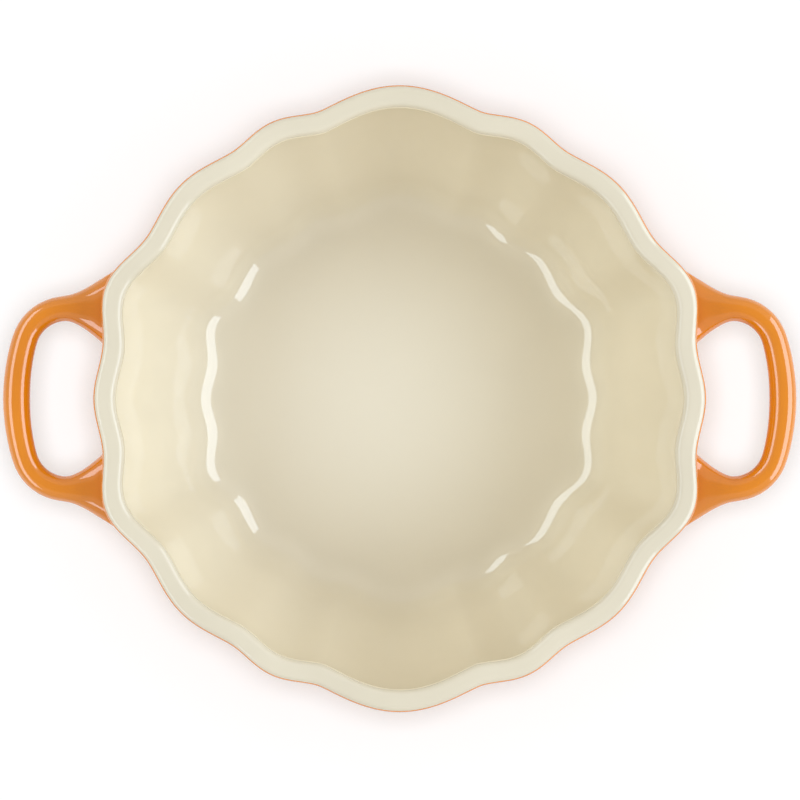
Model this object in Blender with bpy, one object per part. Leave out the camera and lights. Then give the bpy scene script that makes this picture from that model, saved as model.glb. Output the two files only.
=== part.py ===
"""Pumpkin cocotte: an open, ribbed pot of enamelled cast iron with two loop handles.

The bowl and the two loops are cast iron. Coats of glass enamel cover them: sand inside, cream over
the rim, orange outside and on the handles. One outline of the finished surface, from the middle of
the underside up over the rim and down to the middle of the floor, gives every coat and the casting.

Frame: +X along the handles, +Z up, the origin under the pot's middle where it stands.
"""
import math

import bmesh
import bpy
from mathutils import Vector

for item in list(bpy.data.objects):
    bpy.data.objects.remove(item, do_unlink=True)

MM = 0.001
SMOOTH_LIMIT = math.radians(40.0)

# Overall sizes of the bowl, over its enamel
HEIGHT = 104.0 * MM
RIM_RADIUS = 123.4 * MM
BELLY_OVERHANG = 1.0 * MM
BELLY_HEIGHT = 78.0 * MM
WALL = 5.4 * MM
FLOOR_THICKNESS = 6.4 * MM

# Rim bead
RIM_WIDTH = 9.2 * MM
RIM_OUTER_ROUND = 3.0 * MM
RIM_INNER_ROUND = 2.5 * MM
NECK_INSET = 1.4 * MM
NECK_DROP = 8.0 * MM
ROUND_STEPS = 3

# Floor, heel and foot ring
FLOOR_RADIUS = 73.5 * MM
HEEL_ROUND = 20.0 * MM
HEEL_START = math.radians(8.0)
HEEL_END = math.radians(66.0)
HEEL_STEPS = 4
CURVE_PULL = 0.25
FOOT_RADIUS = 75.0 * MM
FOOT_WIDTH = 7.0 * MM
FOOT_HEIGHT = 1.5 * MM
FOOT_ROUND = 0.7 * MM

# Ribs in one quarter, from the handle side round to the front: the angles of the grooves on both
# sides, the crest's height over the shallowest groove, and how peaked the crest is
RIBS = (
    (-9.0, 9.0, 3.3 * MM, 2.0),
    (9.0, 33.0, 7.0 * MM, 2.0),
    (33.0, 56.0, 3.3 * MM, 1.7),
    (56.0, 74.0, 2.7 * MM, 1.8),
    (74.0, 106.0, 6.2 * MM, 1.3),
)
GROOVE_RISE = 1.35 * MM
GROOVE_RISE_END = 56.0
RIB_FADE = 10.0 * MM
RIB_FOOT_SHARE = 0.65
STEPS_PER_RIB = 4
STEPS_PER_WIDE_RIB = 6
WIDE_RIB = 30.0

# Enamel coats
ENAMEL = 0.5 * MM
CLEARANCE = 0.3 * MM
COAT = ENAMEL + CLEARANCE

# Loop handles, over their enamel
HANDLE_REACH = 42.2 * MM
HANDLE_DROP = 20.0 * MM
HANDLE_RISE = 3.0 * MM
GRIP_WIDTH = 11.4 * MM
GRIP_DEPTH = 13.0 * MM
CORNER_WIDTH = 10.6 * MM
CORNER_DEPTH = 12.0 * MM
GRIP_BOW = 91.0 * MM
GRIP_HALF_LENGTH = 24.4 * MM
GRIP_STEPS = 3
CORNER_ROUND = 18.3 * MM
CORNER_STEPS = 4
ARM_STEPS = 5
ROOT_WIDTH = 43.0 * MM
ROOT_DEPTH = 21.0 * MM
ROOT_DRIFT = 2.3 * MM
ROOT_SINK = 7.7 * MM
WIDTH_FLARE = 1.45
DEPTH_FLARE = 1.8
SECTION_SIDES = 12
SECTION_SQUARENESS = 2.3


def principled(name, colour, roughness, metallic=0.0):
    """A material with one Principled shader; the colour is given in sRGB."""
    material = bpy.data.materials.new(name)
    material.use_nodes = True
    shader = material.node_tree.nodes["Principled BSDF"]
    linear = [((c + 0.055) / 1.055) ** 2.4 for c in colour]
    shader.inputs["Base Color"].default_value = (*linear, 1.0)
    shader.inputs["Roughness"].default_value = roughness
    shader.inputs["Metallic"].default_value = metallic
    material.diffuse_color = (*linear, 1.0)
    return material


IRON = principled("bare_cast_iron", (0.30, 0.30, 0.31), 0.7, 0.7)
SAND = principled("sand_enamel", (0.86, 0.82, 0.72), 0.12)
CREAM = principled("cream_rim_enamel", (0.87, 0.85, 0.77), 0.2)
ORANGE = principled("orange_enamel", (0.89, 0.54, 0.18), 0.1)
UNDERSIDE = principled("underside_enamel", (0.80, 0.42, 0.13), 0.25)


def smoothstep(value):
    """Eases from 0 to 1 as the value goes from 0 to 1."""
    value = min(max(value, 0.0), 1.0)
    return value * value * (3.0 - 2.0 * value)


def groove_rise(degrees):
    """Height of the groove line, which stands out a little towards the handles."""
    if degrees >= GROOVE_RISE_END:
        return 0.0
    return GROOVE_RISE * math.cos(0.5 * math.pi * degrees / GROOVE_RISE_END)


def rib_height(angle):
    """How far the ribbed wall stands out past the groove line at an angle round the axis."""
    degrees = math.degrees(math.atan2(abs(math.sin(angle)), abs(math.cos(angle))))
    for start, end, crest, peak in RIBS:
        if degrees <= end:
            break
    base = groove_rise(degrees)
    middle = groove_rise(abs(start + end) / 2.0)
    share = (degrees - start) / (end - start)
    return base + (crest - middle) * math.sin(math.pi * share) ** peak


def ring_angles():
    """The angles of the wall's facets: each groove and each crest lies on one of them."""
    quarter = []
    for start, end, crest, peak in RIBS:
        steps = STEPS_PER_WIDE_RIB if end - start > WIDE_RIB else STEPS_PER_RIB
        for step in range(steps):
            quarter.append(start + (end - start) * step / steps)
    quarter = [degrees for degrees in quarter if 0.0 <= degrees < 90.0]
    mirrored = [180.0 - degrees for degrees in reversed(quarter[1:])]
    half = quarter + [90.0] + mirrored
    full = half + [degrees + 180.0 for degrees in half]
    return [math.radians(degrees) for degrees in full]


ANGLES = ring_angles()


def ribbed(radius, height, angle):
    """A point of the pot: ribs grow out of the round foot, then deepen up the wall to the rim."""
    growth = smoothstep((radius - FOOT_RADIUS) / RIB_FADE)
    wall_foot = FOOT_RADIUS + RIB_FADE
    climb = (radius - wall_foot) / (RIM_RADIUS - RIM_WIDTH - wall_foot)
    growth *= RIB_FOOT_SHARE + (1.0 - RIB_FOOT_SHARE) * min(max(climb, 0.0), 1.0)
    reach = radius + growth * rib_height(angle)
    return Vector((reach * math.cos(angle), reach * math.sin(angle), height))


def arc(centre_r, centre_z, radius, start, end, steps):
    """Points of an arc in the section plane, with angles in radians from the outward axis."""
    points = []
    for step in range(steps + 1):
        angle = start + (end - start) * step / steps
        points.append((centre_r + radius * math.cos(angle), centre_z + radius * math.sin(angle)))
    return points


def curve_between(start, start_way, end, end_way, steps):
    """Points of a smooth curve between two points, leaving and arriving along two directions."""
    reach = CURVE_PULL * math.dist(start, end)
    near = (start[0] + reach * start_way[0], start[1] + reach * start_way[1])
    far = (end[0] - reach * end_way[0], end[1] - reach * end_way[1])
    points = []
    for step in range(steps + 1):
        t = step / steps
        weights = ((1 - t) ** 3, 3 * t * (1 - t) ** 2, 3 * t * t * (1 - t), t ** 3)
        pulls = (start, near, far, end)
        points.append(tuple(sum(w * p[axis] for w, p in zip(weights, pulls)) for axis in (0, 1)))
    return points


def offset(points, distance):
    """The outline moved sideways to its left by a distance, with mitred corners."""
    moved = []
    last = len(points) - 1
    for index, (r, z) in enumerate(points):
        before = Vector(points[max(index - 1, 0)])
        here = Vector((r, z))
        after = Vector(points[min(index + 1, last)])
        ways = [way.normalized() for way in (here - before, after - here) if way.length > 0]
        sides = [Vector((-way.y, way.x)) for way in ways]
        side = (sides[0] + sides[-1]).normalized()
        stretch = 1.0 / max(side.dot(sides[0]), 0.5)
        place = here + side * distance * stretch
        if r == 0.0:
            place.x = 0.0
        moved.append((place.x, place.y))
    return moved


def finished_outline():
    """The section of the finished pot, and the points where its coats and its rim's flat end."""
    floor_height = FOOT_HEIGHT + FLOOR_THICKNESS
    heel_height = floor_height + HEEL_ROUND
    heel_outer = HEEL_ROUND + WALL
    foot_inner = FOOT_RADIUS - FOOT_WIDTH
    heel_start = HEEL_START - 0.5 * math.pi
    heel_end = HEEL_END - 0.5 * math.pi
    rise = (math.cos(HEEL_END), math.sin(HEEL_END))
    belly = (RIM_RADIUS + BELLY_OVERHANG, BELLY_HEIGHT)
    neck = (RIM_RADIUS - NECK_INSET, HEIGHT - NECK_DROP)
    up = (0.0, 1.0)

    underside = [
        (0.0, FOOT_HEIGHT),
        (foot_inner - FOOT_HEIGHT, FOOT_HEIGHT),
        (foot_inner, 0.0),
        (FOOT_RADIUS - FOOT_ROUND, 0.0),
        (FOOT_RADIUS, FOOT_ROUND),
    ]
    heel = arc(FLOOR_RADIUS, heel_height, heel_outer, heel_start, heel_end, HEEL_STEPS)
    lower_wall = curve_between(heel[-1], rise, belly, up, 4)
    upper_wall = curve_between(belly, up, neck, up, 2)
    inner_wall = offset(lower_wall + upper_wall[1:], WALL)[::-1]

    outer_centre = (RIM_RADIUS - RIM_OUTER_ROUND, HEIGHT - RIM_OUTER_ROUND)
    inner_centre = (RIM_RADIUS - RIM_WIDTH + RIM_INNER_ROUND, HEIGHT - RIM_INNER_ROUND)
    bead = arc(*outer_centre, RIM_OUTER_ROUND, 0.0, 0.5 * math.pi, ROUND_STEPS)
    lip = arc(*inner_centre, RIM_INNER_ROUND, 0.5 * math.pi, math.pi, ROUND_STEPS)
    fillet = arc(FLOOR_RADIUS, heel_height, HEEL_ROUND, heel_end, -0.5 * math.pi, HEEL_STEPS)

    outside = heel + lower_wall[1:] + upper_wall[1:]
    inside = inner_wall + fillet[1:] + [(0.0, floor_height)]
    points = underside + outside + bead + lip + inside
    base_end = points.index(underside[-1])
    rim_start = points.index(bead[1])
    rim_top = points.index(lip[0])
    rim_end = points.index(lip[-1])
    return points, base_end, rim_start, rim_top, rim_end


OUTLINE, BASE_END, RIM_START, RIM_TOP, RIM_END = finished_outline()


def add_object(name, mesh_builder, material):
    """A named object from a bmesh, smooth shaded, with its faces turned outwards."""
    bmesh.ops.recalc_face_normals(mesh_builder, faces=mesh_builder.faces)
    mesh = bpy.data.meshes.new(name)
    mesh_builder.to_mesh(mesh)
    mesh_builder.free()
    mesh.materials.append(material)
    mesh.shade_smooth()
    mesh.set_sharp_from_angle(angle=SMOOTH_LIMIT)
    item = bpy.data.objects.new(name, mesh)
    bpy.context.scene.collection.objects.link(item)
    return item


def turned(name, section, closed, material):
    """Spins a section round the axis, then moves each of its rings out to the ribs."""
    bm = bmesh.new()
    corners = [bm.verts.new((r, 0.0, z)) for r, z in section]
    pairs = list(zip(corners, corners[1:]))
    if closed:
        pairs.append((corners[-1], corners[0]))
    edges = [bm.edges.new(pair) for pair in pairs]
    bmesh.ops.spin(
        bm, geom=corners + edges, cent=(0, 0, 0), axis=(0, 0, 1), angle=2 * math.pi,
        steps=len(ANGLES), use_merge=True,
    )
    bmesh.ops.remove_doubles(bm, verts=bm.verts, dist=0.00001)
    for vert in bm.verts:
        radius = vert.co.xy.length
        turn = math.atan2(vert.co.y, vert.co.x) / (2 * math.pi)
        angle = ANGLES[round(turn * len(ANGLES)) % len(ANGLES)]
        if radius > CLEARANCE:
            vert.co = ribbed(radius, vert.co.z, angle)
    return add_object(name, bm, material)


def coat(name, first, last, material):
    """A coat of enamel over the stretch of the outline between two of its points."""
    face = OUTLINE[first:last + 1]
    back = offset(OUTLINE, ENAMEL)[first:last + 1]
    for layer in (face, back):
        for end, neighbour in ((0, 1), (-1, -2)):
            here, inner = Vector(layer[end]), Vector(layer[neighbour])
            if here.x > 0.0:
                layer[end] = tuple(here + (inner - here).normalized() * CLEARANCE / 2)
    return turned(name, face + back[::-1], True, material)


def superellipse(half_width, half_depth):
    """Corners of a handle's section: an oval with slightly flattened sides."""
    corners = []
    power = 2.0 / SECTION_SQUARENESS
    for side in range(SECTION_SIDES):
        angle = 2 * math.pi * (side + 0.5) / SECTION_SIDES
        c, s = math.cos(angle), math.sin(angle)
        across = math.copysign(abs(c) ** power, c) * half_width
        along = math.copysign(abs(s) ** power, s) * half_depth
        corners.append((across, along))
    return corners


def handle_stations():
    """Half of a loop, from the middle of the grip to its root inside the wall.

    Each station holds the place in plan, the heading, the full width and the full depth.
    """
    stations = []
    reach = RIM_RADIUS + HANDLE_REACH - GRIP_WIDTH / 2
    bow_centre = reach - GRIP_BOW
    bow = math.asin(GRIP_HALF_LENGTH / GRIP_BOW)
    for step in range(GRIP_STEPS):
        share = step / GRIP_STEPS
        turn = bow * share
        place = (bow_centre + GRIP_BOW * math.cos(turn), GRIP_BOW * math.sin(turn))
        width = GRIP_WIDTH + (CORNER_WIDTH - GRIP_WIDTH) * share
        depth = GRIP_DEPTH + (CORNER_DEPTH - GRIP_DEPTH) * share
        stations.append((place, turn, width, depth))

    corner_centre = (
        bow_centre + (GRIP_BOW - CORNER_ROUND) * math.cos(bow),
        (GRIP_BOW - CORNER_ROUND) * math.sin(bow),
    )
    for step in range(CORNER_STEPS + 1):
        turn = bow + (0.5 * math.pi - bow) * step / CORNER_STEPS
        x = corner_centre[0] + CORNER_ROUND * math.cos(turn)
        y = corner_centre[1] + CORNER_ROUND * math.sin(turn)
        stations.append(((x, y), turn, CORNER_WIDTH, CORNER_DEPTH))

    arm_y = corner_centre[1] + CORNER_ROUND
    root_x = RIM_RADIUS - ROOT_SINK
    for step in range(1, ARM_STEPS + 1):
        share = step / ARM_STEPS
        x = corner_centre[0] + (root_x - corner_centre[0]) * share
        y = arm_y - ROOT_DRIFT * share * share
        width = CORNER_WIDTH + (ROOT_WIDTH - CORNER_WIDTH) * share ** WIDTH_FLARE
        depth = CORNER_DEPTH + (ROOT_DEPTH - CORNER_DEPTH) * share ** DEPTH_FLARE
        stations.append(((x, y), 0.5 * math.pi, width, depth))
    return stations


def loop(name, side, inset, material):
    """A loop handle on the side +1 or -1, its surface set in from the finished one by an inset."""
    bm = bmesh.new()
    half = handle_stations()
    root_height = HEIGHT - HANDLE_DROP
    grip_x = half[0][0][0]
    root_x = half[-1][0][0]
    rings = []
    for way in (-1, 1):
        ordered = half[:0:-1] if way < 0 else half
        for (x, y), turn, width, depth in ordered:
            lift = HANDLE_RISE * smoothstep((x - root_x) / (grip_x - root_x))
            outward = Vector((math.cos(turn), way * math.sin(turn), 0.0))
            middle = Vector((x, way * y, root_height + lift))
            ring = []
            for across, up in superellipse(width / 2 - inset, depth / 2 - inset):
                corner = middle + outward * across + Vector((0.0, 0.0, up))
                ring.append(bm.verts.new((side * corner.x, corner.y, corner.z)))
            rings.append(ring)
    for ring, following in zip(rings, rings[1:]):
        for index in range(SECTION_SIDES):
            beside = (index + 1) % SECTION_SIDES
            bm.faces.new((ring[index], ring[beside], following[beside], following[index]))
    bm.faces.new(rings[0])
    bm.faces.new(rings[-1])
    return add_object(name, bm, material)


def hidden(item):
    """Marks an object as a cutter that isn't part of the pot."""
    item.hide_render = True
    item.display_type = 'WIRE'
    return item


def cut(item, cutter):
    """Cuts an object with another."""
    modifier = item.modifiers.new("cut_" + cutter.name, 'BOOLEAN')
    modifier.operation = 'DIFFERENCE'
    modifier.solver = 'EXACT'
    modifier.object = cutter


def pot_envelope(name, inset):
    """A solid filled pot, whose outside is set in from the finished one by an inset."""
    shell = offset(OUTLINE, inset)[:RIM_TOP + 1]
    return hidden(turned(name, shell + [(0.0, HEIGHT - inset)], False, IRON))


# The bowl, as cast, lies inside every coat of enamel
turned("pot_casting", offset(OUTLINE, COAT), False, IRON)

# Four coats cover the bowl, with a hairline between each and the next
coat("base_enamel", 0, BASE_END, UNDERSIDE)
outer_enamel = coat("outer_enamel", BASE_END, RIM_START, ORANGE)
coat("rim_enamel", RIM_START, RIM_END, CREAM)
coat("inner_enamel", RIM_END, len(OUTLINE) - 1, SAND)

# The loops grow out of the bowl through the orange coat, and wear a sleeve of the same enamel
iron_envelope = pot_envelope("iron_envelope", ENAMEL)
enamel_envelope = pot_envelope("enamel_envelope", -CLEARANCE)
for side, label in ((-1, "left"), (1, "right")):
    casting = loop(label + "_handle_casting", side, COAT, IRON)
    cut(casting, iron_envelope)
    sleeve = loop(label + "_handle_enamel", side, 0.0, ORANGE)
    core = hidden(loop(label + "_core", side, ENAMEL, IRON))
    cut(sleeve, core)
    cut(sleeve, enamel_envelope)
    cut(outer_enamel, core)
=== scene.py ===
import math

import bmesh
import bpy
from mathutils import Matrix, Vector


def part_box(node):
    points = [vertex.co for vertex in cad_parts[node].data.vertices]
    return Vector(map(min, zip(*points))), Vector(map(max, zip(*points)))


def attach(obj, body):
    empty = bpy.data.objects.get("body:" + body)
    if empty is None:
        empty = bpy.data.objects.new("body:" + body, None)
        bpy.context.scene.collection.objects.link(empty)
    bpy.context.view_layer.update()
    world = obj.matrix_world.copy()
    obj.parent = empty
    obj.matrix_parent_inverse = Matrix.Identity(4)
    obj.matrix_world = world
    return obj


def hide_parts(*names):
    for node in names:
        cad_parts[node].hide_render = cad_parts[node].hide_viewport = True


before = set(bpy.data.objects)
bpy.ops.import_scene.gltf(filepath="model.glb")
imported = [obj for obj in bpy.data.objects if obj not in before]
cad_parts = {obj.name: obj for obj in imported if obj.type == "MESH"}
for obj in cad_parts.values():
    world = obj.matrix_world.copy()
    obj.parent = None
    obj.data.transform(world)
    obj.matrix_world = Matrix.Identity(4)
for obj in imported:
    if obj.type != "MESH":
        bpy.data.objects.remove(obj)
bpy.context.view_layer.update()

# Cast iron bowl and loops
# Grey cast iron, poured as one piece in a sand mould and shot blasted before it is enamelled. The
# enamel hides all of it, so the solids of the model stay as they are and only wear the iron's skin.
MM = 0.001


def linear(code):
    """A colour written as sRGB hex, turned to the linear values that a shader takes."""
    parts = [int(code[start:start + 2], 16) / 255 for start in (1, 3, 5)]
    return (*[c / 12.92 if c <= 0.04045 else ((c + 0.055) / 1.055) ** 2.4 for c in parts], 1.0)


def add_node(material, kind, settings=None, inputs=None, links=None):
    """Adds a node, with its settings, its input values and the outputs linked into it."""
    tree = material.node_tree
    node = tree.nodes.new("ShaderNode" + kind)
    for name, value in (settings or {}).items():
        setattr(node, name, value)
    for name, value in (inputs or {}).items():
        node.inputs[name].default_value = value
    for name, source in (links or {}).items():
        tree.links.new(source, node.inputs[name])
    return node


# A Mix node has several sockets of each name, so its colour sockets go by number
MIX_SHARE, MIX_FROM, MIX_TO, MIX_RESULT = 0, 6, 7, 2

# Nearly all of a noise lies between these values
NOISE_SPAN = {"From Min": 0.3, "From Max": 0.7}

# Shot blasted grey iron: dark and matt to the eye, pitted by the mould's 0.4 mm grains of sand
SAND_GRAIN = 0.4 * MM
PIT_DEPTH = SAND_GRAIN / 4
iron = bpy.data.materials.new("grey_cast_iron")
iron.use_nodes = True
iron_shader = iron.node_tree.nodes["Principled BSDF"]
iron_place = add_node(iron, "TexCoord").outputs["Object"]
iron_sand = add_node(
    iron, "TexNoise", inputs={"Scale": 1 / SAND_GRAIN, "Detail": 2.0},
    links={"Vector": iron_place},
)
iron_spread = add_node(
    iron, "MapRange", inputs=NOISE_SPAN, links={"Value": iron_sand.outputs["Fac"]},
)
iron_tone = add_node(
    iron, "Mix", {"data_type": 'RGBA'},
    inputs={MIX_FROM: linear("#3a3a3c"), MIX_TO: linear("#4a4a4b")},
    links={MIX_SHARE: iron_spread.outputs["Result"]},
)
iron_pits = add_node(
    iron, "Bump", inputs={"Strength": 0.6, "Distance": PIT_DEPTH},
    links={"Height": iron_sand.outputs["Fac"]},
)
iron.node_tree.links.new(iron_tone.outputs[MIX_RESULT], iron_shader.inputs["Base Color"])
iron.node_tree.links.new(iron_pits.outputs["Normal"], iron_shader.inputs["Normal"])
iron_shader.inputs["Metallic"].default_value = 0.8
iron_shader.inputs["Roughness"].default_value = 0.7

for node_name in ("pot_casting", "left_handle_casting", "right_handle_casting"):
    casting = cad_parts[node_name]
    casting.data.materials.clear()
    casting.data.materials.append(iron)

# Orange enamel over the bowl's outside and both loops
# Opaque glass enamel, sprayed on and fired at about 800 degrees in one continuous coat. It runs from
# the foot up the ribbed wall to the rim's outer round, and out over the loops through wide fillets.
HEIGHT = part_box("rim_enamel")[1].z
RIM_RADIUS = 123.4 * MM
RIM_WIDTH = 9.2 * MM
RIM_OUTER_ROUND = 3.0 * MM
RIM_START_ANGLE = math.radians(44)
NECK_RADIUS = 122.0 * MM
NECK_HEIGHT = HEIGHT - 8.0 * MM
BELLY_RADIUS = 124.4 * MM
BELLY_HEIGHT = 78.0 * MM
HEEL_ROUND = 20.0 * MM
HEEL_START = math.radians(8)
HEEL_END = math.radians(66)
WALL = 5.4 * MM
FLOOR_HEIGHT = 7.9 * MM
FLOOR_RADIUS = 73.5 * MM
FOOT_RADIUS = 75.0 * MM
FOOT_ROUND = 0.7 * MM

# A quarter's ribs from the loops' line round to the back: the grooves at both sides in degrees, the
# crest's height and its peakedness
RIBS = (
    (-9, 9, 3.3 * MM, 2.0),
    (9, 33, 7.0 * MM, 2.0),
    (33, 56, 3.3 * MM, 1.7),
    (56, 74, 2.7 * MM, 1.8),
    (74, 106, 6.2 * MM, 1.3),
)
GROOVE_RISE = 1.35 * MM
GROOVE_RISE_END = 56
RIB_FADE = 10.0 * MM
RIB_FOOT_SHARE = 0.65


def groove_rise(degrees):
    """Height of the groove line, which stands out a little towards the handles."""
    return GROOVE_RISE * math.cos(math.radians(90 * min(degrees / GROOVE_RISE_END, 1)))


def rib_height(degrees):
    """How far the wall stands out past the groove line, at 0 to 90 degrees from the loops' line."""
    start, end, crest, peak = next(rib for rib in RIBS if degrees <= rib[1])
    rise = crest - groove_rise((start + end) / 2)
    swing = math.sin(math.pi * (degrees - start) / (end - start))
    return groove_rise(degrees) + rise * swing ** peak


MEAN_RIB = sum(rib_height(degrees) for degrees in range(90)) / 90


def folded(place):
    """The whole degrees between a place and the loops' line, from 0 to 90."""
    return round(math.degrees(math.atan2(abs(place.y), abs(place.x))))


def choose(item, kind, test):
    """In edit mode, selects only the vertices, edges or faces whose middle passes a test."""
    mesh = bmesh.from_edit_mesh(item.data)
    for part in (*mesh.faces, *mesh.edges, *mesh.verts):
        part.select = False
    mesh.select_flush(False)
    for part in getattr(mesh, kind):
        corners = [part.co] if kind == "verts" else [vert.co for vert in part.verts]
        if test(part, sum(corners, Vector()) / len(corners)):
            part.select_set(True)
    bmesh.update_edit_mesh(item.data)


def circle(name, columns, radius, height):
    """A level circle round the pot's middle, left in edit mode."""
    bpy.ops.object.select_all(action='DESELECT')
    bpy.ops.mesh.primitive_circle_add(vertices=columns, radius=radius, location=(0, 0, height))
    item = bpy.context.object
    item.name = name
    bpy.ops.object.transform_apply(location=True)
    bpy.ops.object.mode_set(mode='EDIT')
    return item


COLUMNS = 360


def ribbed_circle(name, radius, height):
    """A circle of 1 degree columns at a height, pushed out to the ribs, left in edit mode."""
    item = circle(name, COLUMNS, radius, height)
    for degrees in range(91):
        push = 1 + rib_height(degrees) / radius
        choose(item, "verts", lambda vert, place: folded(place) == degrees)
        bpy.ops.transform.resize(value=(push, push, 1), center_override=(0, 0, height))
    bpy.ops.mesh.select_all(action='SELECT')
    return item


def smoothstep(value):
    """Eases from 0 to 1 as the value goes from 0 to 1."""
    value = min(max(value, 0), 1)
    return value * value * (3 - 2 * value)


def rib_share(radius):
    """The share of a rib's height that is left at a radius, from 1 at the lip to 0 at the floor."""
    wall_foot = FOOT_RADIUS + RIB_FADE
    climb = min(max((radius - wall_foot) / (RIM_RADIUS - RIM_WIDTH - wall_foot), 0), 1)
    fade = smoothstep((radius - FOOT_RADIUS) / RIB_FADE)
    return fade * (RIB_FOOT_SHARE + (1 - RIB_FOOT_SHARE) * climb)


def draw_rings(rings):
    """Extrudes the selected ring along (radius, height) places, starting from the first."""
    for (radius, height), (next_radius, next_height) in zip(rings, rings[1:]):
        bpy.ops.mesh.extrude_region_move(
            TRANSFORM_OT_translate={"value": (0, 0, next_height - height)})
        middle = (0, 0, next_height)
        outward = next_radius - radius
        share, next_share = rib_share(radius), rib_share(next_radius)
        if next_share < share:
            bpy.ops.transform.tosphere(value=1 - next_share / share, center_override=middle)
            outward -= (share - next_share) * MEAN_RIB
        bpy.ops.transform.push_pull(value=-outward, center_override=middle)


def arc(centre, radius, start, end, steps):
    """Places along an arc, with angles in radians from the outward direction."""
    angles = [start + (end - start) * step / steps for step in range(steps + 1)]
    return [(centre[0] + radius * math.cos(a), centre[1] + radius * math.sin(a)) for a in angles]


CURVE_PULL = 0.25


def curve_between(start, start_way, end, end_way, steps):
    """Places along a smooth curve that leaves and arrives along two directions."""
    reach = CURVE_PULL * math.dist(start, end)
    near = [place + reach * way for place, way in zip(start, start_way)]
    far = [place - reach * way for place, way in zip(end, end_way)]
    places = []
    for step in range(steps + 1):
        t = step / steps
        weights = ((1 - t) ** 3, 3 * t * (1 - t) ** 2, 3 * t * t * (1 - t), t ** 3)
        places.append(tuple(
            sum(w * pull[axis] for w, pull in zip(weights, (start, near, far, end)))
            for axis in (0, 1)))
    return places


# The outside's profile from the foot up to the bead, as (radius, height) places in the grooves
UP = (0, 1)
belly = (BELLY_RADIUS, BELLY_HEIGHT)
rim_round = (RIM_RADIUS - RIM_OUTER_ROUND, HEIGHT - RIM_OUTER_ROUND)
heel_centre = (FLOOR_RADIUS, FLOOR_HEIGHT + HEEL_ROUND)
heel_rise = (math.cos(HEEL_END), math.sin(HEEL_END))
heel = arc(
    heel_centre, HEEL_ROUND + WALL, HEEL_START - math.pi / 2, HEEL_END - math.pi / 2, steps=4)
lower_wall = curve_between(heel[-1], heel_rise, belly, UP, steps=8)
upper_wall = curve_between(lower_wall[-1], UP, (NECK_RADIUS, NECK_HEIGHT), UP, steps=6)
neck = curve_between(upper_wall[-1], UP, (RIM_RADIUS, rim_round[1]), UP, steps=2)
bead = arc(rim_round, RIM_OUTER_ROUND, 0, RIM_START_ANGLE, steps=2)
outside = [(FOOT_RADIUS, FOOT_ROUND)] + heel + lower_wall[1:] + upper_wall[1:] + neck[1:] + bead[1:]
outside.reverse()

# The wall is drawn down from the bead all round, and the quarter at the back right of it is kept
orange_coat = ribbed_circle("orange_enamel_coat", *outside[0])
draw_rings(outside)
choose(orange_coat, "verts", lambda vert, place: place.x < -MM / 2 or place.y < -MM / 2)
bpy.ops.mesh.delete(type='VERT')

# Where the loop's arm grows out of the wall, a patch of it is opened, 20 degrees wide and from the
# last ring below the belly to the last below the neck
HOLE_START, HOLE_END = 8, 28
HOLE_LOW, HOLE_HIGH = lower_wall[-2][1], upper_wall[-2][1]


def in_hole(face, place):
    """Whether a face of the wall lies where the arm grows out."""
    degrees = math.degrees(math.atan2(place.y, place.x))
    return HOLE_START < degrees < HOLE_END and HOLE_LOW < place.z < HOLE_HIGH


choose(orange_coat, "faces", in_hole)
bpy.ops.mesh.delete(type='FACE')
bpy.ops.object.mode_set(mode='OBJECT')

# The half loop is a ring of bar section at the middle of the grip, drawn round the corner to the wall
HANDLE_REACH = 42.2 * MM
HANDLE_DROP = 20.0 * MM
HANDLE_RISE = 3.0 * MM
GRIP_WIDTH = 11.4 * MM
GRIP_DEPTH = 13.0 * MM
CORNER_WIDTH = 10.6 * MM
CORNER_DEPTH = 12.0 * MM
GRIP_BOW = 91.0 * MM
GRIP_HALF_LENGTH = 24.4 * MM
CORNER_ROUND = 18.3 * MM
ROOT_WIDTH = 43.0 * MM
ROOT_DEPTH = 21.0 * MM
ROOT_DRIFT = 2.3 * MM
ROOT_X = RIM_RADIUS - 7.7 * MM
ARM_END_X = 126.0 * MM
WIDTH_FLARE = 1.45
DEPTH_FLARE = 1.8
GRIP_STEPS, CORNER_STEPS, ARM_STEPS = 3, 5, 5


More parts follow.
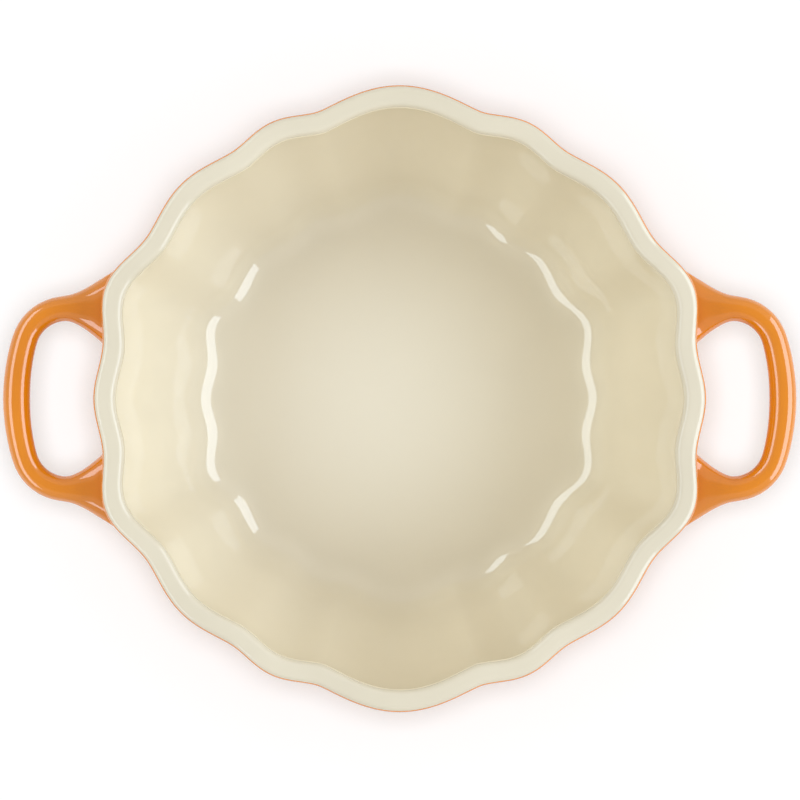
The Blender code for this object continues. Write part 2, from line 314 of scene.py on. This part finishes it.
def loop_stations():
    """Half a loop, from its grip to near the wall: middle, turn from the X axis, width and depth."""
    reach = RIM_RADIUS + HANDLE_REACH - GRIP_WIDTH / 2
    bow_centre = reach - GRIP_BOW
    bow = math.asin(GRIP_HALF_LENGTH / GRIP_BOW)
    stations = []
    for step in range(GRIP_STEPS):
        share = step / GRIP_STEPS
        x = bow_centre + GRIP_BOW * math.cos(bow * share)
        y = GRIP_BOW * math.sin(bow * share)
        width = GRIP_WIDTH + (CORNER_WIDTH - GRIP_WIDTH) * share
        depth = GRIP_DEPTH + (CORNER_DEPTH - GRIP_DEPTH) * share
        stations.append((x, y, bow * share, width, depth))
    corner_x = bow_centre + (GRIP_BOW - CORNER_ROUND) * math.cos(bow)
    corner_y = (GRIP_BOW - CORNER_ROUND) * math.sin(bow)
    for step in range(CORNER_STEPS + 1):
        turn = bow + (math.pi / 2 - bow) * step / CORNER_STEPS
        x = corner_x + CORNER_ROUND * math.cos(turn)
        y = corner_y + CORNER_ROUND * math.sin(turn)
        stations.append((x, y, turn, CORNER_WIDTH, CORNER_DEPTH))
    for step in range(1, ARM_STEPS + 1):
        x = corner_x + (ARM_END_X - corner_x) * step / ARM_STEPS
        share = (corner_x - x) / (corner_x - ROOT_X)
        y = corner_y + CORNER_ROUND - ROOT_DRIFT * share ** 2
        width = CORNER_WIDTH + (ROOT_WIDTH - CORNER_WIDTH) * share ** WIDTH_FLARE
        depth = CORNER_DEPTH + (ROOT_DEPTH - CORNER_DEPTH) * share ** DEPTH_FLARE
        stations.append((x, y, math.pi / 2, width, depth))
    placed = []
    for x, y, turn, width, depth in stations:
        lift = HANDLE_RISE * smoothstep((x - ROOT_X) / (reach - ROOT_X))
        placed.append(((x, y, HEIGHT - HANDLE_DROP + lift), turn, width, depth))
    return placed


# The ring starts 1 m across, so that it is scaled by the bar's own width and depth
BAR_SIDES = 52
stations = loop_stations()
middle, turn, width, depth = stations[0]
bpy.ops.object.select_all(action='DESELECT')
bpy.ops.mesh.primitive_circle_add(
    vertices=BAR_SIDES, radius=0.5, location=middle, rotation=(math.pi / 2, 0, 0))
half_loop = bpy.context.object
bpy.ops.object.transform_apply(location=True, rotation=True)
bpy.ops.object.mode_set(mode='EDIT')

# The bar isn't quite round, so the ring's sides are pushed out, most of all on its diagonals
BAR_SQUARENESS = 2.3
for side in range(BAR_SIDES // 4 + 1):
    angle = math.tau * side / BAR_SIDES
    shares = [abs(part) ** BAR_SQUARENESS for part in (math.cos(angle), math.sin(angle))]
    swell = sum(shares) ** (-1 / BAR_SQUARENESS)

    def on_side(vert, place):
        around = math.atan2(abs(place.x - middle[0]), abs(place.z - middle[2]))
        return abs(around - angle) < math.pi / BAR_SIDES

    choose(half_loop, "verts", on_side)
    bpy.ops.transform.resize(value=(swell, 1, swell), center_override=middle)
bpy.ops.mesh.select_all(action='SELECT')
bpy.ops.transform.resize(value=(width, 1, depth), center_override=middle)

# The bar's width lies along X at the grip, and along Y past the corner's middle
for following, next_turn, next_width, next_depth in stations[1:]:
    step = [there - here for here, there in zip(middle, following)]
    bpy.ops.mesh.extrude_region_move(TRANSFORM_OT_translate={"value": step})
    wider, deeper = next_width / width, next_depth / depth
    bpy.ops.transform.rotate(value=turn - next_turn, orient_axis='Z', center_override=following)
    across = (1, wider, deeper) if next_turn > math.pi / 4 else (wider, 1, deeper)
    bpy.ops.transform.resize(value=across, center_override=following)
    middle, turn, width, depth = following, next_turn, next_width, next_depth
bpy.ops.object.mode_set(mode='OBJECT')

# The arm is joined to the patch's edge by a fillet that leaves the wall along its surface
ROOT_SPAN_X = (100 * MM, ARM_END_X + MM)
ROOT_SPAN_Y = (12 * MM, 62 * MM)
ROOT_SPAN_Z = (HOLE_LOW - MM, HOLE_HIGH + MM)


def at_root(edge, place):
    """Whether an edge is on the open patch or on the end of the arm."""
    spans = zip(place, (ROOT_SPAN_X, ROOT_SPAN_Y, ROOT_SPAN_Z))
    return edge.is_boundary and all(low < along < high for along, (low, high) in spans)


bpy.ops.object.select_all(action='DESELECT')
half_loop.select_set(True)
orange_coat.select_set(True)
bpy.context.view_layer.objects.active = orange_coat
bpy.ops.object.join()
bpy.ops.object.mode_set(mode='EDIT')
bpy.ops.mesh.select_mode(type='EDGE')
choose(orange_coat, "edges", at_root)
bpy.ops.mesh.bridge_edge_loops(number_cuts=3, interpolation='SURFACE', smoothness=1.0)
bpy.ops.mesh.select_mode(type='VERT')
bpy.ops.object.mode_set(mode='OBJECT')

ENAMEL_THICKNESS = 0.4 * MM
SAME_PLACE = 0.01 * MM
MIRROR_REACH = 0.05 * MM
SHARP_EDGE = math.radians(40)


def finish_coat(item, material, quarter=False):
    """Mirrors a quarter where asked, smooths the coat and gives it its thickness inwards."""
    bpy.ops.object.mode_set(mode='EDIT')
    bpy.ops.mesh.select_all(action='SELECT')
    bpy.ops.mesh.remove_doubles(threshold=SAME_PLACE)
    bpy.ops.mesh.normals_make_consistent(inside=False)
    bpy.ops.object.mode_set(mode='OBJECT')
    if quarter:
        mirror = item.modifiers.new("mirror", 'MIRROR')
        mirror.use_axis = (True, True, False)
        mirror.merge_threshold = MIRROR_REACH
    rounding = item.modifiers.new("rounding", 'SUBSURF')
    rounding.levels = 1
    rounding.render_levels = 1
    thickness = item.modifiers.new("thickness", 'SOLIDIFY')
    thickness.thickness = ENAMEL_THICKNESS
    thickness.offset = -1
    for modifier in list(item.modifiers):
        bpy.ops.object.modifier_apply(modifier=modifier.name)
    bpy.ops.object.shade_smooth_by_angle(angle=SHARP_EDGE)
    item.data.materials.clear()
    item.data.materials.append(material)


TONE_DRIFT = 45 * MM
GLOSS_DRIFT = 0.04
RIPPLE = 5 * MM
RIPPLE_DEPTH = 0.02 * MM


def enamel(name, shades, roughness, index):
    """Opaque glass enamel: a glossy, faintly rippled skin with a slow drift of tone."""
    material = bpy.data.materials.new(name)
    material.use_nodes = True
    shader = material.node_tree.nodes["Principled BSDF"]
    place = add_node(material, "TexCoord").outputs["Object"]
    drift = add_node(
        material, "TexNoise", inputs={"Scale": 1 / TONE_DRIFT, "Detail": 3.0},
        links={"Vector": place},
    )
    spread = add_node(
        material, "MapRange", inputs=NOISE_SPAN, links={"Value": drift.outputs["Fac"]},
    )
    tone = add_node(
        material, "Mix", {"data_type": 'RGBA'},
        inputs={MIX_FROM: linear(shades[0]), MIX_TO: linear(shades[1])},
        links={MIX_SHARE: spread.outputs["Result"]},
    )
    gloss = add_node(
        material, "MapRange", inputs={"To Min": roughness, "To Max": roughness + GLOSS_DRIFT},
        links={"Value": spread.outputs["Result"]},
    )
    waves = add_node(
        material, "TexNoise", inputs={"Scale": 1 / RIPPLE, "Detail": 1.0},
        links={"Vector": place},
    )
    ripple = add_node(
        material, "Bump", inputs={"Strength": 0.15, "Distance": RIPPLE_DEPTH},
        links={"Height": waves.outputs["Fac"]},
    )
    links = material.node_tree.links
    links.new(tone.outputs[MIX_RESULT], shader.inputs["Base Color"])
    links.new(gloss.outputs["Result"], shader.inputs["Roughness"])
    links.new(ripple.outputs["Normal"], shader.inputs["Normal"])
    shader.inputs["IOR"].default_value = index
    return material


# Sprayed orange enamel: a wet gloss, deep in colour, with sharp bright lines along the loops
orange = enamel("orange_glass_enamel", ("#d07706", "#dc820a"), roughness=0.05, index=1.85)
finish_coat(orange_coat, orange, quarter=True)
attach(orange_coat, "root")
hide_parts("outer_enamel", "left_handle_enamel", "right_handle_enamel")

# Cream enamel over the rim
# The rim is dipped in a cream enamel that covers its flat, where a lid rests, and both of its rounds.
# It stops in a thin line on the outer round, where the orange coat ends.
RIM_INNER_ROUND = 2.5 * MM
lip_round = (RIM_RADIUS - RIM_WIDTH + RIM_INNER_ROUND, HEIGHT - RIM_INNER_ROUND)
outer_round = arc(rim_round, RIM_OUTER_ROUND, RIM_START_ANGLE, math.pi / 2, steps=5)
inner_round = arc(lip_round, RIM_INNER_ROUND, math.pi / 2, math.pi, steps=6)
flat_middle = ((rim_round[0] + lip_round[0]) / 2, HEIGHT)
rim_rings = outer_round + [flat_middle] + inner_round

rim_coat = ribbed_circle("cream_rim_coat", *rim_rings[0])
draw_rings(rim_rings)

# Dipped cream enamel: glossy, with slightly blurred reflections on the narrow band
cream = enamel("cream_glass_enamel", ("#d2c8b3", "#d8ceb9"), roughness=0.08, index=1.6)
finish_coat(rim_coat, cream)
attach(rim_coat, "root")
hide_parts("rim_enamel")

# Sand enamel inside the bowl
# The inside is flushed with a sand-coloured enamel that runs from the lip down the ribbed wall, round
# the heel and over the flat floor, where the ribs have died away. It is a little thicker up the wall,
# which covers the flats of the iron's ribs.
INSIDE_SWELL = 0.35 * MM
DOWN = (0, -1)


def set_in(places, distance):
    """A line of places moved sideways, to the left of its run."""
    moved = []
    for index, (r, z) in enumerate(places):
        before = places[max(index - 1, 0)]
        after = places[min(index + 1, len(places) - 1)]
        run_r, run_z = after[0] - before[0], after[1] - before[1]
        length = math.hypot(run_r, run_z)
        moved.append((r - distance * run_z / length, z + distance * run_r / length))
    return moved


inner_upper = set_in(upper_wall, WALL)
inner_lower = set_in(lower_wall, WALL)
fillet_top = inner_lower[0][1]
inner_wall = [
    (r - INSIDE_SWELL * smoothstep((z - fillet_top) / (BELLY_HEIGHT - fillet_top)), z)
    for r, z in (inner_lower[:-1] + inner_upper)[::-1]
]
inner_neck = curve_between(rim_rings[-1], DOWN, inner_wall[0], DOWN, steps=3)
fillet = arc(heel_centre, HEEL_ROUND, HEEL_END - math.pi / 2, -math.pi / 2, steps=8)
inner_rings = inner_neck + inner_wall[1:-1] + fillet


def close_plate(item, columns, start, radii, height):
    """Runs a flat plate in from its open ring, halves its columns at each step, and caps it."""
    for radius in radii:
        def on_ring(edge, place):
            level = abs(place.z - height) < MM / 2
            return edge.is_boundary and level and place.xy.length < start + MM

        def every_second(edge, place):
            column = math.atan2(place.y, place.x) // (math.tau / columns)
            return on_ring(edge, place) and column % 2 == 0

        draw_rings([(start, height), (radius, height)])
        start = radius
        bpy.ops.mesh.select_mode(type='EDGE')
        choose(item, "edges", every_second)
        bpy.ops.mesh.merge(type='COLLAPSE')
        choose(item, "edges", on_ring)
        columns //= 2
    bpy.ops.mesh.edge_face_add()
    bpy.ops.mesh.select_mode(type='VERT')


FLOOR_PLATE_RADII = (62 * MM, 48 * MM, 28 * MM, 12 * MM)
inner_coat = ribbed_circle("sand_inner_coat", *inner_rings[0])
draw_rings(inner_rings)
close_plate(inner_coat, COLUMNS, FLOOR_RADIUS, FLOOR_PLATE_RADII, FLOOR_HEIGHT)

# Flushed sand enamel: as smooth as glass, so the lamps show as sharp bright lines along the heel
sand = enamel("sand_glass_enamel", ("#dacdb1", "#e0d3b7"), roughness=0.01, index=1.75)

# A pale pool of light is painted into the sand's colour in the middle of the floor, a little to the
# left of centre. It is paler and less yellow towards its middle.
PAINTED_LIGHT_RADIUS = 150.0 * MM
PAINTED_LIGHT_MIDDLE = (-22 * MM, 0, FLOOR_HEIGHT)
sand_shader = sand.node_tree.nodes["Principled BSDF"]
sand_place = add_node(sand, "TexCoord").outputs["Object"]
sand_tone = sand_shader.inputs["Base Color"].links[0].from_socket
painted_light_reach = add_node(
    sand, "VectorMath", {"operation": 'DISTANCE'}, inputs={1: PAINTED_LIGHT_MIDDLE}, links={0: sand_place})
painted_light_share = add_node(
    sand, "MapRange", {"interpolation_type": 'SMOOTHSTEP'},
    inputs={"From Min": PAINTED_LIGHT_RADIUS, "From Max": 0.0},
    links={"Value": painted_light_reach.outputs["Value"]},
)
# The pale colour of the painted pool of light, blended in towards the floor's middle
painted_light_tone = add_node(
    sand, "Mix", {"data_type": 'RGBA'}, inputs={MIX_TO: linear("#f6efde")},
    links={MIX_SHARE: painted_light_share.outputs["Result"], MIX_FROM: sand_tone},
)
sand.node_tree.links.new(painted_light_tone.outputs[MIX_RESULT], sand_shader.inputs["Base Color"])
finish_coat(inner_coat, sand)
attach(inner_coat, "root")
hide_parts("inner_enamel")

# Dark enamel under the foot
# The underside gets a thin satin coat of dark orange enamel. The pot stands on the flat edge of its
# foot ring, and the round plate inside the ring lies a little higher.
FOOT_WIDTH = 7.0 * MM
FOOT_HEIGHT = 1.5 * MM
EASE = 0.3 * MM
BASE_COLUMNS = 192
BASE_PLATE_RADII = (50 * MM, 30 * MM, 12 * MM)
foot_outer = FOOT_RADIUS - FOOT_ROUND
foot_inner = FOOT_RADIUS - FOOT_WIDTH
slope_top = foot_inner - FOOT_HEIGHT
base_rings = [
    (FOOT_RADIUS, FOOT_ROUND),
    (FOOT_RADIUS - EASE, EASE),
    (foot_outer, 0.0),
    (foot_outer - EASE, 0.0),
    (foot_inner + EASE, 0.0),
    (foot_inner - EASE / 2, EASE / 2),
    (slope_top + EASE, FOOT_HEIGHT - EASE),
    (slope_top - EASE, FOOT_HEIGHT),
]

base_coat = circle("underside_enamel_coat", BASE_COLUMNS, *base_rings[0])
draw_rings(base_rings)
close_plate(base_coat, BASE_COLUMNS, base_rings[-1][0], BASE_PLATE_RADII, FOOT_HEIGHT)

# Thin satin enamel: browner than the sides, with broad dull reflections
underside = enamel("satin_dark_orange_enamel", ("#b9601c", "#c76c24"), roughness=0.3, index=1.5)
finish_coat(base_coat, underside)
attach(base_coat, "root")
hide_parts("base_enamel")

# Studio
# A white sweep under the pot in a soft white surround that is dimmer overhead, a long narrow softbox
# halfway up on the left and a wide one that stands upright on the right. Both are flagged off the
# sweep, which has a small light of its own from above that leaves the pot's soft shadow.
SWEEP_SIZE = 12.0
SWEEP_GAP = 0.1 * MM
SWEEP_GLOW = 0.16
bpy.ops.object.select_all(action='DESELECT')
bpy.ops.mesh.primitive_plane_add(size=SWEEP_SIZE, location=(0, 0, -SWEEP_GAP))
floor = bpy.context.object
floor.name = "white_sweep"

# Matt white paper, with a faint glow of its own to the camera and in reflections
paper = bpy.data.materials.new("white_paper")
paper.use_nodes = True
paper_nodes = paper.node_tree.nodes
paper_nodes.remove(paper_nodes["Principled BSDF"])
matt = add_node(paper, "BsdfDiffuse", inputs={"Color": linear("#eaf1f8")})
rays = add_node(paper, "LightPath")
seen = add_node(
    paper, "Math", {"operation": 'MAXIMUM'},
    links={0: rays.outputs["Is Camera Ray"], 1: rays.outputs["Is Glossy Ray"]},
)
seen_through = add_node(
    paper, "Math", {"operation": 'MAXIMUM'},
    links={0: seen.outputs[0], 1: rays.outputs["Is Transmission Ray"]},
)
glow_level = add_node(
    paper, "Math", {"operation": 'MULTIPLY'}, inputs={1: SWEEP_GLOW},
    links={0: seen_through.outputs[0]},
)
glow = add_node(paper, "Emission", links={"Strength": glow_level.outputs[0]})
both = add_node(paper, "AddShader", links={0: matt.outputs[0], 1: glow.outputs[0]})
paper.node_tree.links.new(both.outputs[0], paper_nodes["Material Output"].inputs["Surface"])
floor.data.materials.append(paper)
off_sweep = bpy.data.collections.new("off_the_sweep")
on_sweep = bpy.data.collections.new("on_the_sweep")
for receivers, state in ((off_sweep, 'EXCLUDE'), (on_sweep, 'INCLUDE')):
    receivers.objects.link(floor)
    receivers.collection_objects[0].light_linking.link_state = state


def softbox(name, x, z, degrees, width, length, power, colour, receivers):
    """A rectangular lamp in line with the loops, turned by degrees from facing down to left."""
    lamp = bpy.data.lights.new(name, 'AREA')
    lamp.shape = 'RECTANGLE'
    lamp.size = width
    lamp.size_y = length
    lamp.energy = power
    lamp.color = colour
    holder = bpy.data.objects.new(name, lamp)
    holder.location = (x, 0, z)
    holder.rotation_euler = (0, math.radians(degrees), 0)
    holder.visible_camera = False
    holder.light_linking.receiver_collection = receivers
    bpy.context.scene.collection.objects.link(holder)


softbox(
    "left_strip", x=-0.94, z=0.94, degrees=-45, width=0.55, length=2.6, power=13.2,
    colour=(0.79, 0.91, 1.0), receivers=off_sweep,
)
softbox(
    "right_softbox", x=1.2, z=1.05, degrees=90, width=1.4, length=2.0, power=29,
    colour=(0.77, 0.88, 1.0), receivers=off_sweep,
)
softbox(
    "sweep_light", x=0, z=1.6, degrees=0, width=0.3, length=0.3, power=12,
    colour=(1, 1, 1), receivers=on_sweep,
)

# The surround dims between these heights of a direction, where 1 is straight overhead
DIM_FROM, DIM_TO = 0.83, 0.95
SIDE_LEVEL, OVERHEAD_LEVEL = 0.69, 0.38
world = bpy.data.worlds.new("studio")
bpy.context.scene.world = world
world.use_nodes = True
surround = world.node_tree.nodes["Background"]
surround.inputs["Color"].default_value = linear("#fff9f0")
direction = add_node(world, "TexCoord").outputs["Generated"]
steepness = add_node(world, "SeparateXYZ", links={"Vector": direction})
level = add_node(
    world, "MapRange", {"interpolation_type": 'SMOOTHSTEP'},
    inputs={
        "From Min": DIM_FROM, "From Max": DIM_TO, "To Min": SIDE_LEVEL, "To Max": OVERHEAD_LEVEL},
    links={"Value": steepness.outputs["Z"]},
)
world.node_tree.links.new(level.outputs["Result"], surround.inputs["Strength"])

# Camera
# It looks straight down from 1.4 m above the rim, with the loops level in the picture. A pixel is
# 0.412 mm wide in the plane of the rim.
PIXELS = 800
RIM_SCALE = 0.412 * MM
CAMERA_DISTANCE = 1400 * MM
SHIFT_PIXELS_X, SHIFT_PIXELS_Y = 0.3, -1.3
camera = bpy.data.cameras.new("camera")
camera.sensor_width = 36.0
camera.lens = camera.sensor_width * CAMERA_DISTANCE / (PIXELS * RIM_SCALE)
camera.shift_x = SHIFT_PIXELS_X / PIXELS
camera.shift_y = SHIFT_PIXELS_Y / PIXELS
viewer = bpy.data.objects.new("camera", camera)
viewer.location = (0, 0, HEIGHT + CAMERA_DISTANCE)
bpy.context.scene.collection.objects.link(viewer)
bpy.context.scene.camera = viewer
bpy.context.scene.view_settings.view_transform = 'Standard'
